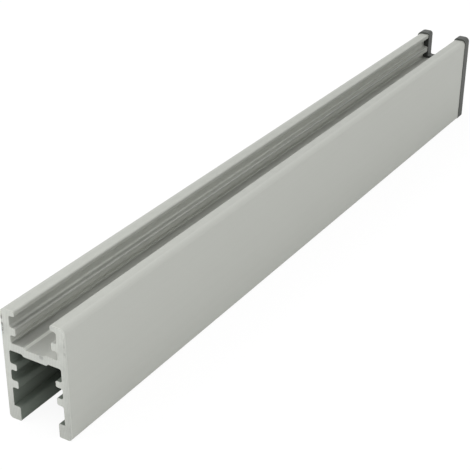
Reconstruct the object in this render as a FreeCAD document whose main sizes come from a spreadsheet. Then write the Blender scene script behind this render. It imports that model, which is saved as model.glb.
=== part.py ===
import FreeCAD, Part
import os
import Sketcher
from FreeCAD import Vector
from types import SimpleNamespace

# A short length of extruded aluminium rail for the top edge of a glass door, with a moulded end cap.
# The section is an H: a shallow upper channel for the running gear and a deep lower one for the glass.
# Millimetres. X runs across the rail, Y along it with the bare cut at -Y and the cap at +Y, Z up.
# The rail stands on the bottoms of its two walls, and the origin is under the middle of the whole part.

SIZES = {
    # the whole section
    "width": 22.0,
    "height": 36.0,
    "length": 275.0,
    "top_radius": 1.6,
    "foot_radius": 1.2,
    "groove_radius": 0.7,
    "tip_radius": 0.45,
    # the web between the channels, with its middle set down as a shallow trough
    "web": 2.4,
    "trough_drop": 0.6,
    "trough_under": 8.0,
    "trough_floor": 6.0,
    # upper channel, from the top down
    "upper_wall": 2.9,
    "upper_reach": 1.95,
    "lip": 1.7,
    "hanger_groove": 3.7,
    "upper_ridge": 2.4,
    "floor_groove": 2.7,
    # lower channel, from the web down, with a tall groove left above the foot
    "wall": 2.0,
    "reach": 2.2,
    "corner_groove": 4.3,
    "thin_ridge": 2.0,
    "seal_groove": 3.5,
    "lower_ridge": 2.4,
    "foot": 4.7,
    # end cap
    "cap_thickness": 4.5,
    "cap_margin": 0.25,
    "cap_rise": 0.8,
    "cap_corner": 2.0,
    "cap_edge": 0.6,
    "cap_tip_radius": 1.3,
    "cap_notch_radius": 0.6,
    "tongue_length": 8.0,
    "tongue_clearance": 0.1,
}


class Size:
    """A length and the sheet formula that drives it."""

    def __init__(self, value, formula):
        self.value = value
        self.formula = formula

    def __add__(self, other):
        return Size(self.value + other.value, f"({self.formula} + {other.formula})")

    def __sub__(self, other):
        return Size(self.value - other.value, f"({self.formula} - {other.formula})")

    def __truediv__(self, number):
        return Size(self.value / number, f"({self.formula} / {number})")


GROUND = Size(0.0, "0")


def make_sheet(doc):
    """Write the driving dimensions to a spreadsheet and return them as sizes bound to its cells."""
    sheet = doc.addObject("Spreadsheet::Sheet", "Sizes")
    bound = {}
    for row, (name, value) in enumerate(SIZES.items(), start=1):
        sheet.set(f"A{row}", name)
        sheet.set(f"B{row}", str(value))
        sheet.setAlias(f"B{row}", name)
        bound[name] = Size(value, f"Sizes.{name}")
    doc.recompute()
    return SimpleNamespace(**bound)


def origin_plane(body, role):
    return next(item for item in body.Origin.OriginFeatures if item.Role == role)


def section_sketch(body, name, corners, station, both_sides=True):
    """Draw a closed section on the XZ plane, moved along Y to the station.

    corners lists the +X side as (x, z) sizes. With both_sides the outline goes on across to the -X side
    and back along its mirror image, and otherwise it closes on itself.
    """
    sketch = body.newObject("Sketcher::SketchObject", name)
    sketch.AttachmentSupport = [(origin_plane(body, "XZ_Plane"), "")]
    sketch.MapMode = "FlatFace"
    # the sketch's own Z points to -Y
    sketch.setExpression("AttachmentOffset.Base.z", f"-{station.formula}")

    points = [Vector(x.value, z.value, 0) for x, z in corners]
    if both_sides:
        points += [Vector(-point.x, point.y, 0) for point in reversed(points)]
    count = len(points)
    for index in range(count):
        sketch.addGeometry(Part.LineSegment(points[index], points[(index + 1) % count]), False)
    for index in range(count):
        sketch.addConstraint(Sketcher.Constraint("Coincident", index, 2, (index + 1) % count, 1))

    ground_line, centre_line = -1, -2
    for index, (x, z) in enumerate(corners):
        drive(sketch, "DistanceX", index, x)
        if z is GROUND:
            sketch.addConstraint(Sketcher.Constraint("PointOnObject", index, 1, ground_line))
        else:
            drive(sketch, "DistanceY", index, z)
        if both_sides:
            mirror = count - 1 - index
            sketch.addConstraint(Sketcher.Constraint("Symmetric", index, 1, mirror, 1, centre_line))
    return sketch


def drive(sketch, kind, line, size):
    """Tie the start of a line to the sketch's origin by a sheet formula."""
    number = sketch.addConstraint(Sketcher.Constraint(kind, -1, 1, line, 1, size.value))
    sketch.setExpression(f"Constraints[{number}]", size.formula)


def pad(body, name, sketch, length, towards_cap):
    feature = body.newObject("PartDesign::Pad", name)
    feature.Profile = sketch
    feature.Reversed = towards_cap
    feature.setExpression("Length", length.formula)
    body.Document.recompute()
    return feature


def lengthwise_edges(shape, spots):
    """Name the edges along Y that pass through the (x, z) spots and their mirror images."""
    names = []
    for x, z in spots:
        for side in (1, -1):
            found = [
                f"Edge{number}" for number, edge in enumerate(shape.Edges, start=1)
                if all(abs(v.X - side * x.value) < 1e-4 and abs(v.Z - z.value) < 1e-4 for v in edge.Vertexes)
            ]
            if len(found) != 1:
                raise RuntimeError(f"{len(found)} edges at x {side * x.value:.2f}, z {z.value:.2f}")
            names += found
    return names


def round_edges(body, name, base, edges, radius):
    fillet = body.newObject("PartDesign::Fillet", name)
    fillet.Base = (base, edges)
    fillet.setExpression("Radius", radius.formula)
    body.Document.recompute()
    return fillet


def rail_levels(s):
    """Heights and half widths that the rail's section and the cap share."""
    lip_bottom = s.height - s.lip
    upper_ridge_top = lip_bottom - s.hanger_groove
    upper_ridge_bottom = upper_ridge_top - s.upper_ridge
    floor = upper_ridge_bottom - s.floor_groove
    web_bottom = floor - s.web
    thin_ridge_top = web_bottom - s.corner_groove
    thin_ridge_bottom = thin_ridge_top - s.thin_ridge
    lower_ridge_top = thin_ridge_bottom - s.seal_groove
    return SimpleNamespace(
        outer=s.width / 2,
        inner=s.width / 2 - s.wall,
        tip=s.width / 2 - s.wall - s.reach,
        upper_inner=s.width / 2 - s.upper_wall,
        upper_tip=s.width / 2 - s.upper_wall - s.upper_reach,
        floor=floor,
        trough_floor=floor - s.trough_drop,
        web_bottom=web_bottom,
        trough_bottom=web_bottom - s.trough_drop,
        lower_ridges=[
            (thin_ridge_bottom, thin_ridge_top),
            (lower_ridge_top - s.lower_ridge, lower_ridge_top),
        ],
        lip_bottom=lip_bottom,
        upper_ridge=(upper_ridge_bottom, upper_ridge_top),
        joint=(s.length - s.cap_thickness) / 2,
    )


def make_rail(doc, s, at):
    """The extrusion: one H section with lips, ridges and feet, sawn square."""
    body = doc.addObject("PartDesign::Body", "Rail")
    body.Label = "profile"

    # under the web, from the trough out to the wall, then down past the ridges to the foot
    corners = [
        (s.trough_under / 2, at.trough_bottom),
        (s.trough_under / 2 + s.trough_drop, at.web_bottom),
        (at.inner, at.web_bottom),
    ]
    for bottom, top in at.lower_ridges:
        corners += [(at.inner, top), (at.tip, top), (at.tip, bottom), (at.inner, bottom)]
    corners += [(at.inner, s.foot), (at.tip, s.foot), (at.tip, GROUND)]
    # up the outer face, in over the lip and down the upper channel to the trough
    corners += [(at.outer, GROUND), (at.outer, s.height), (at.upper_tip, s.height)]
    corners += [(at.upper_tip, at.lip_bottom), (at.upper_inner, at.lip_bottom)]
    bottom, top = at.upper_ridge
    corners += [(at.upper_inner, top), (at.upper_tip, top), (at.upper_tip, bottom), (at.upper_inner, bottom)]
    corners += [
        (at.upper_inner, at.floor),
        (s.trough_floor / 2 + s.trough_drop, at.floor),
        (s.trough_floor / 2, at.trough_floor),
    ]
    sketch = section_sketch(body, "RailSection", corners, at.joint)
    rail = pad(body, "RailPad", sketch, s.length, towards_cap=False)

    ridge_levels = [z for ridge in at.lower_ridges for z in ridge]
    groove_corners = [(at.inner, z) for z in (at.web_bottom, *ridge_levels)]
    groove_corners += [(at.upper_inner, z) for z in (at.floor, *at.upper_ridge, at.lip_bottom)]
    tip_corners = [(at.tip, z) for z in (GROUND, s.foot, *ridge_levels)]
    tip_corners += [(at.upper_tip, z) for z in (*at.upper_ridge, at.lip_bottom, s.height)]
    for name, spots, radius in (
        ("TopRounding", [(at.outer, s.height)], s.top_radius),
        ("FootRounding", [(at.outer, GROUND)], s.foot_radius),
        ("GrooveRounding", groove_corners, s.groove_radius),
        ("TipRounding", tip_corners, s.tip_radius),
    ):
        rail = round_edges(body, name, rail, lengthwise_edges(rail.Shape, spots), radius)
    return body


def make_cap(doc, s, at):
    """The moulded cap: it covers the wall ends and the web, and leaves both channels open."""
    body = doc.addObject("PartDesign::Body", "Cap")
    body.Label = "end_cap"
    outer = at.outer + s.cap_margin
    lower_notch = at.tip - s.cap_margin
    upper_notch = at.upper_tip - s.cap_margin
    top = s.height + s.cap_rise
    bar_top = at.floor + s.cap_rise
    bar_bottom = at.trough_bottom - s.cap_margin

    corners = [
        (lower_notch, bar_bottom), (lower_notch, GROUND), (outer, GROUND),
        (outer, top), (upper_notch, top), (upper_notch, bar_top),
    ]
    sketch = section_sketch(body, "CapSection", corners, at.joint)
    cap = pad(body, "CapPad", sketch, s.cap_thickness, towards_cap=True)
    for name, spots, radius in (
        ("CapCorners", [(outer, top)], s.cap_corner),
        ("CapTips", [(upper_notch, top)], s.cap_tip_radius),
        ("CapFeet", [(outer, GROUND)], s.foot_radius),
        ("CapNotches", [(upper_notch, bar_top), (lower_notch, bar_bottom)], s.cap_notch_radius),
    ):
        cap = round_edges(body, name, cap, lengthwise_edges(cap.Shape, spots), radius)
    end = (at.joint + s.cap_thickness).value
    rim = [
        f"Edge{number}" for number, edge in enumerate(cap.Shape.Edges, start=1)
        if all(abs(v.Y - end) < 1e-4 for v in edge.Vertexes)
    ]
    round_edges(body, "CapRim", cap, rim, s.cap_edge)

    # a tongue on each side presses into the corner groove beside the web
    groove_bottom = at.lower_ridges[0][1]
    inward, outward = at.tip, at.inner - s.tongue_clearance
    low, high = groove_bottom + s.tongue_clearance, at.web_bottom - s.tongue_clearance
    corners = [(inward, low), (outward, low), (outward, high), (inward, high)]
    sketch = section_sketch(body, "TongueSection", corners, at.joint, both_sides=False)
    tongue = pad(body, "Tongue", sketch, s.tongue_length, towards_cap=False)
    pair = body.newObject("PartDesign::Mirrored", "TonguePair")
    pair.Originals = [tongue]
    pair.MirrorPlane = (origin_plane(body, "YZ_Plane"), [""])
    body.Tip = pair
    return body


def check(doc, bodies):
    """Stop before anything is written if a feature failed or a body isn't one sound solid."""
    doc.recompute()
    for item in doc.Objects:
        if {"Invalid", "Error"} & set(item.State):
            raise RuntimeError(f"{item.Name} failed: {item.State}")
    for item in doc.findObjects("Sketcher::SketchObject"):
        if not item.FullyConstrained:
            raise RuntimeError(f"{item.Name} isn't fully constrained")
    for body in bodies:
        shape = body.Shape
        if shape.isNull() or not shape.isValid() or len(shape.Solids) != 1:
            raise RuntimeError(f"{body.Label} isn't one valid solid")


def main():
    doc = FreeCAD.newDocument("GlassDoorRail")
    s = make_sheet(doc)
    at = rail_levels(s)
    bodies = [make_rail(doc, s, at), make_cap(doc, s, at)]
    check(doc, bodies)
    os.makedirs("parts", exist_ok=True)
    for body in bodies:
        body.Shape.exportStep(f"parts/{body.Label}.step")
        box = body.Shape.BoundBox
        print(f"{body.Label}: {body.Shape.Volume:.1f} mm3, {box}")


main()
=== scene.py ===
import math
import bpy
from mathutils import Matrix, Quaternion, Vector


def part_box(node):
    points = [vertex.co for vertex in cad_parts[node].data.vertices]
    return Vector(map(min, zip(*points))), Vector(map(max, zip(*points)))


# A cut length of glass door rail with its end cap on, standing on a pale table under soft studio light.
# Everything is in metres in the rail's own frame: X across, Y along it to the cap, Z up.
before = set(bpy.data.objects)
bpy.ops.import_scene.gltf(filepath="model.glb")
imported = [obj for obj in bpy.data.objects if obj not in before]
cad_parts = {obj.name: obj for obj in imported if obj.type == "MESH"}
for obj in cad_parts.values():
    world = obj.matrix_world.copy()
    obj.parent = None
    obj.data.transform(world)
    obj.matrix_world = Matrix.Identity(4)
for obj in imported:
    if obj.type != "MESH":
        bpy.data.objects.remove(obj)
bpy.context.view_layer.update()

# the bare cut, the joint with the cap and the outer skin of the walls
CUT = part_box("profile")[0].y
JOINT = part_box("profile")[1].y
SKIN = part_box("profile")[1].x

# heights in the section
WEB = 0.024  # within the web between the channels
TROUGH = 0.0249  # the sunk middle of the upper channel's floor
FLOOR = 0.0255  # the rest of that floor
RIDGE = 0.0294  # within the upper channel's ridges
RIDGE_TOP = 0.0306  # the upper faces of those ridges
LIP = 0.0343  # the undersides of the lips
TOP = 0.0352  # within the lips, a little under the tops of the walls

# distances from the middle of the section
SIDE = 0.0041  # on the upper channel's floor, beyond the slopes of its sunk middle
FACE = 0.00615  # the faces of the lips and of the upper channel's ridges
BACK = 0.0081  # the backs of the upper channel's grooves
WALL = 0.0091  # within the walls, clear of both channels

# a hair's breadth, over which the edge of a crisp mark fades
HAIR = 0.0001

# the saw's arcs: their spacing, and where their centre lies across the rail and above the table
ARC_PITCH = 0.0009
ARC_CENTRE = (-0.17, 0.05)

# colours, with a fourth number for the sockets that want one
SILVER_SKIN = (0.525, 0.534, 0.502, 1)
# painted shade: the lower channel's skin, darker and greener for its deep hollow
LOWER_CHANNEL_SHADE = (0.265, 0.296, 0.260, 1)
BARE_METAL = (0.584, 0.597, 0.562)
CAP_GREY = (0.058, 0.062, 0.056)
TABLE_GREY = (0.80, 0.80, 0.80, 1)
WHITE = (1, 1, 1, 1)


class Value:
    """An output of a finish's nodes. Arithmetic on it adds Math nodes."""

    def __init__(self, finish, socket):
        self.finish = finish
        self.socket = socket

    def math(self, operation, *values):
        return self.finish.node("Math", {"operation": operation}, enumerate(values))

    def __add__(self, other):
        return self.math("ADD", self, other)

    def __sub__(self, other):
        return self.math("SUBTRACT", self, other)

    def __rsub__(self, other):
        return self.math("SUBTRACT", other, self)

    def __mul__(self, other):
        return self.math("MULTIPLY", self, other)

    def __lt__(self, other):
        return self.math("LESS_THAN", self, other)

    def __gt__(self, other):
        return self.math("GREATER_THAN", self, other)

    def __abs__(self):
        return self.math("ABSOLUTE", self)

    __radd__ = __add__
    __rmul__ = __mul__

    def wave(self):
        """Between 0 and 1, once for every turn of this angle in radians."""
        return self.math("SINE", self) * 0.5 + 0.5

    def ramp(self, low, high):
        """0 at low, 1 at high and a smooth change between them; low may be the greater."""
        return self.finish.node(
            "MapRange",
            {"interpolation_type": "SMOOTHSTEP"},
            {"Value": self, "From Min": low, "From Max": high},
        )

    def band(self, low, high, soft):
        """1 between low and high, fading to 0 over the soft distance outside them."""
        return self.ramp(low - soft, low) * self.ramp(high + soft, high)


class Finish:
    """The nodes of one material, or of the room's light, with its coordinates laid out."""

    def __init__(self, owner, coordinates):
        self.owner = owner
        owner.use_nodes = True
        self.tree = owner.node_tree
        self.tree.nodes.clear()
        self.spot = self.node("TexCoord", out=coordinates)
        axes = self.node("SeparateXYZ", {}, {"Vector": self.spot}).socket.node.outputs
        self.x, self.y, self.z = (Value(self, axis) for axis in axes)

    def node(self, kind, settings=(), sockets=(), out=0):
        """Add a node, set it up, then fill its sockets with numbers, colours or other outputs."""
        made = self.tree.nodes.new("ShaderNode" + kind)
        for name, setting in dict(settings).items():
            setattr(made, name, setting)
        for name, value in dict(sockets).items():
            if isinstance(value, Value):
                self.tree.links.new(value.socket, made.inputs[name])
            else:
                made.inputs[name].default_value = value
        return Value(self, made.outputs[out]) if made.outputs else None

    def noise(self, across, along, detail=2.0):
        """Noise from 0 to 1, with so many swells to the metre across the rail and along it."""
        swells = (across, along, across)
        spot = self.node("VectorMath", {"operation": "MULTIPLY"}, {0: self.spot, 1: swells})
        return self.node("TexNoise", {}, {"Vector": spot, "Scale": 1.0, "Detail": detail})

    def away(self, x, z):
        """Distance in metres, in the plane of the section, from a point of it."""
        flat = self.node("CombineXYZ", {}, {"X": self.x, "Z": self.z})
        return self.node("VectorMath", {"operation": "DISTANCE"}, {0: flat, 1: (x, 0, z)}, out="Value")

    def blend(self, share, first, second):
        """The first colour where the share is 0, the second where it is 1."""
        return self.node("Mix", {"data_type": "RGBA"}, {"Factor": share, 6: first, 7: second}, out=2)

    def tint(self, colour, amount):
        """A colour made lighter or darker by a factor that varies over the surface."""
        return self.node("VectorMath", {"operation": "SCALE"}, {0: colour, "Scale": amount})

    def bump(self, height, rise):
        """A normal for a height from 0 to 1 that stands for so many metres."""
        return self.node("Bump", {}, {"Height": height, "Distance": rise}, out="Normal")

    def surface(self, **sockets):
        """End in one Principled shader, whose sockets are named with underscores for spaces."""
        named = {name.replace("_", " "): value for name, value in sockets.items()}
        self.node("OutputMaterial", {}, {"Surface": self.node("BsdfPrincipled", {}, named)})
        return self.owner

    def shown_white(self, lit, plain, camera_share, glossy_share):
        """The lit shader, with the plain one in its place for a share of what the eye and gloss see."""
        camera = self.node("LightPath", out="Is Camera Ray")
        glossy = self.node("LightPath", out="Is Glossy Ray")
        through = self.node("LightPath", out="Is Transmission Ray")
        share = camera * camera_share + (glossy + through) * glossy_share
        return self.node("MixShader", {}, {0: share, 1: lit, 2: plain})


def torn_burrs(m, out):
    """Where the saw's teeth broke out through the skin of the walls, more of it on the left wall."""
    streak = out.band(SKIN - 0.0006, SKIN - 0.0002, 0.0002) * m.z.band(0.0285, 0.0330, 0.0015)
    streak = streak * m.noise(900, 900, detail=3).ramp(0.40, 0.55) * (0.25 + (m.x < 0) * 0.75)
    patch = out.band(SKIN - 0.0018, SKIN, 0.0008) * m.z.band(0.0290, 0.0305, 0.0015)
    return streak * 0.55 + patch * 0.08


def grime_and_shade_on_cut(m, out):
    """How much grime and painted shade darken the cut: grime wiped all over, more on web and right wall,
    one smudge, and painted shade toward the feet.
    """
    wiped = m.noise(380, 380).ramp(0.52, 0.75)
    web_end = (out < BACK - HAIR) * m.z.band(0.0225, 0.0260, 0.0005)
    # painted shade: the cut is darker toward the table
    foot_shade = m.z.ramp(0.014, 0.002)
    right_wall = (m.x > BACK) * m.z.band(0.010, 0.024, 0.004)
    right_edge = m.x.ramp(BACK, SKIN) * m.z.ramp(0.032, 0.026)
    smudge = m.away(0.0024, 0.0246).ramp(0.0011, 0.0003)
    grime_and_shade = wiped * 0.06 + web_end * 0.05 + foot_shade * 0.12 + right_wall * 0.04 + right_edge * 0.08
    return grime_and_shade + smudge * 0.28


def upper_channel_light_and_shade(m, out, within, handling):
    """How much painted light makes the skin of the upper channel and the tops paler, or painted shade
    darker where it is below 0.
    """
    walls = within * m.z.band(FLOOR + 2 * HAIR, LIP, HAIR / 10)
    groove = walls * (out > BACK - 3 * HAIR)
    low_groove = groove * (m.z < RIDGE)
    high_groove = groove * (m.z > RIDGE)
    slope = within * m.z.band(TROUGH + HAIR / 2, FLOOR - HAIR / 2, HAIR / 2)

    # painted shade, strongest near the cut, lies on the floor toward the left wall and on the left side
    # of the channel, where the floor also takes a little random tone from handling
    near_cut_shade = m.y.ramp(CUT + 0.028, CUT)
    floor_left_shade = within * m.z.band(WEB, FLOOR + 2 * HAIR, HAIR) * m.x.ramp(0.006, 0.001)
    left_side_shade = within * m.z.band(WEB, LIP, HAIR) * (m.x < -SIDE) * (1 - low_groove)
    shade_and_handling = floor_left_shade * (handling * 0.03 + near_cut_shade * 0.06) + left_side_shade * near_cut_shade * 0.13

    # painted shade: dark lines on the ridges and in the floor's left corner, fading along the rail
    near = m.y.ramp(-0.03, -0.10)
    ridge_shade_line = out.band(FACE + 0.00065, FACE + 0.00125, 2 * HAIR)
    ridge_shade_line = ridge_shade_line * m.z.band(RIDGE_TOP - HAIR, RIDGE_TOP + HAIR, HAIR)
    floor_corner_shade = m.x.band(0.0001 - BACK, 0.0007 - BACK, 0.0006)
    floor_corner_shade = floor_corner_shade * m.z.band(FLOOR - HAIR, FLOOR + 3 * HAIR, 2 * HAIR)

    # painted shade dulls the highlight on the edge of each ridge, more so toward the cap, where painted
    # shade also darkens the rounded corner behind the ridge
    far = m.y.ramp(-0.02, 0.06)
    ridge_edge_shade = out.band(FACE - 0.00015, FACE + 0.00035, HAIR)
    ridge_edge_shade = ridge_edge_shade * m.z.band(RIDGE_TOP - 0.0007, RIDGE_TOP + HAIR, 2 * HAIR)
    ridge_corner_shade = out.band(BACK - 0.0005, BACK, HAIR) * m.z.band(RIDGE_TOP, RIDGE_TOP + 0.0005, 2 * HAIR)

    # painted shade: the tops are a little darker beyond the near end
    far_top_shade = (m.z > TOP) * out.ramp(0.0100, 0.0090) * m.y.ramp(-0.11, -0.01)

    # painted light: the upper channel's walls and grooves are paler, and a painted glint lies on the
    # slopes of the sunk middle
    painted_light = walls * 0.04 + high_groove * (1 - near_cut_shade) * 0.12
    painted_light = painted_light + low_groove * (near * 0.09 + 0.05) + slope * 0.24
    shade_lines = ridge_shade_line * (near * 0.15 + 0.02) + floor_corner_shade * near * 0.08
    painted_shade = shade_lines + ridge_edge_shade * (far * 0.09 + 0.08) + ridge_corner_shade * far * 0.10 + far_top_shade * 0.05
    return painted_light - painted_shade - shade_and_handling


def anodised_aluminium():
    """Satin anodised extrusion: fine die lines along it, an etched grain, and a bare sawn end."""
    m = Finish(bpy.data.materials.new("anodised_aluminium"), "Object")
    out = abs(m.x)
    die_lines = m.noise(1500, 2.5, detail=3) * 0.6 + m.noise(260, 1.2) * 0.4
    etched = m.noise(2600, 2600)
    handling = m.noise(45, 22, detail=3)

    # the teeth of the saw leave shallow arcs that wander a little
    wander = m.noise(120, 120)
    teeth = (m.away(*ARC_CENTRE) * (2 * math.pi / ARC_PITCH) + wander * 9).wave()
    sawn = m.y < CUT + 0.00004
    torn = torn_burrs(m, out) * sawn
    bare = m.tint(BARE_METAL, 0.95 + teeth * 0.04 + etched * 0.06 - torn - grime_and_shade_on_cut(m, out))

    # the channels keep a rougher skin from the die, mottled in the upper one; the lower one is painted
    # darker and greener as shade for its deep hollow, and a painted highlight brightens the skin where
    # the cut's edge was broken
    within = out < WALL
    skin_with_lower_shade = m.blend(within * (m.z < WEB), SILVER_SKIN, LOWER_CHANNEL_SHADE)
    mottled = within * (m.z > WEB) * (m.noise(500, 260, detail=3) - 0.5) * 0.14
    # a painted highlight along the broken edge of the cut
    broken_edge_highlight = m.y.band(CUT, CUT + 2 * HAIR, 2 * HAIR) * (1 - sawn)
    lines_and_edge_highlight = die_lines * 0.08 + etched * 0.03 + broken_edge_highlight * 0.12
    anodised = m.tint(skin_with_lower_shade, 0.95 + lines_and_edge_highlight + mottled + upper_channel_light_and_shade(m, out, within, handling))

    rough = 0.60 + handling * 0.07 + die_lines * 0.07 + within * (m.z > FLOOR + 2 * HAIR) * 0.10
    height = die_lines * (1 - sawn) + etched * 0.5 + teeth * sawn * 0.8 + torn
    return m.surface(
        Base_Color=m.blend(sawn, anodised, bare),
        Metallic=0.85,
        Roughness=rough,
        Normal=m.bump(height, 0.00001),
    )


def grey_plastic():
    """Moulded cap: dark grey, with a fine satin grain from the mould."""
    m = Finish(bpy.data.materials.new("grey_plastic"), "Object")
    grain = m.noise(2400, 2400, detail=3)
    cloud = m.noise(160, 160)
    # painted shade darkens the face that closes the ends of the upper grooves, which is also rougher
    groove_end_shade = (m.y < JOINT + 2 * HAIR) * (abs(m.x) < BACK + 3 * HAIR) * (m.z < LIP)
    return m.surface(
        Base_Color=m.tint(CAP_GREY, 0.90 + cloud * 0.12 + grain * 0.08 - groove_end_shade * 0.50),
        Roughness=0.42 + grain * 0.12 + groove_end_shade * 0.30,
        IOR=1.40,
        Normal=m.bump(grain, 0.00002),
    )


def table_top():
    """White table: it shows pure white with only a light shadow."""
    m = Finish(bpy.data.materials.new("table_top"), "Object")
    lit = m.node("BsdfDiffuse", {}, {"Color": TABLE_GREY})
    # just over 1, so that away from the shadow the table adds up to full white
    plain = m.node("Emission", {}, {"Color": WHITE, "Strength": 1.03})
    shown = m.shown_white(lit, plain, camera_share=0.88, glossy_share=0.05)
    m.node("OutputMaterial", {}, {"Surface": shown})
    return m.owner


def make_table():
    half = 6.0
    mesh = bpy.data.meshes.new("table")
    corners = [(-half, -half, 0), (half, -half, 0), (half, half, 0), (-half, half, 0)]
    mesh.from_pydata(corners, [], [(0, 1, 2, 3)])
    table = bpy.data.objects.new("table", mesh)
    bpy.context.scene.collection.objects.link(table)
    mesh.materials.append(table_top())


def make_room():
    """White surroundings, a little brighter from above."""
    m = Finish(bpy.data.worlds.new("room"), "Generated")
    bpy.context.scene.world = m.owner
    level = m.node("Background", {}, {"Color": WHITE, "Strength": 0.88})
    above = m.node("Background", {}, {"Color": WHITE, "Strength": 1.0})
    plain = m.node("Background", {}, {"Color": WHITE, "Strength": 1.0})
    lit = m.node("MixShader", {}, {0: m.z.ramp(0.0, 0.8), 1: level, 2: above})
    shown = m.shown_white(lit, plain, camera_share=1.0, glossy_share=1.0)
    m.node("OutputWorld", {}, {"Surface": shown})


def add_lamp(name, spot, aim, size, watts):
    lamp = bpy.data.lights.new(name, "AREA")
    lamp.shape = "SQUARE"
    lamp.size = size
    lamp.energy = watts
    held = bpy.data.objects.new(name, lamp)
    held.location = spot
    held.rotation_mode = "QUATERNION"
    held.rotation_quaternion = (Vector(aim) - Vector(spot)).to_track_quat("-Z", "Y")
    bpy.context.scene.collection.objects.link(held)


def make_camera():
    """The photograph's standpoint, worked out from the rail's straight edges."""
    camera = bpy.data.cameras.new("camera")
    camera.sensor_width = 36.0
    camera.lens = 90.948
    held = bpy.data.objects.new("camera", camera)
    held.location = (0.184094, -0.338657, 0.201594)
    side, down, roll = (math.radians(angle) for angle in (31.407, 27.837, 0.416))
    forward = Vector((-math.sin(side) * math.cos(down), math.cos(side) * math.cos(down), -math.sin(down)))
    held.rotation_mode = "QUATERNION"
    held.rotation_quaternion = forward.to_track_quat("-Z", "Y") @ Quaternion((0, 0, 1), roll)
    bpy.context.scene.collection.objects.link(held)
    bpy.context.scene.camera = held


finishes = {"profile": anodised_aluminium(), "end_cap": grey_plastic()}
for node, finish in finishes.items():
    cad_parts[node].material_slots[0].material = finish

make_table()
make_room()
add_lamp("key_lamp", spot=(-0.8, -0.7, 1.1), aim=(0, -0.05, 0.02), size=0.8, watts=6.5)
# a small lamp near the cut, whose light falls off along the rail
add_lamp("near_lamp", spot=(0.20, -0.40, 0.42), aim=(0, -0.12, 0.02), size=0.35, watts=0.55)
make_camera()
bpy.context.scene.view_settings.view_transform = "Standard"
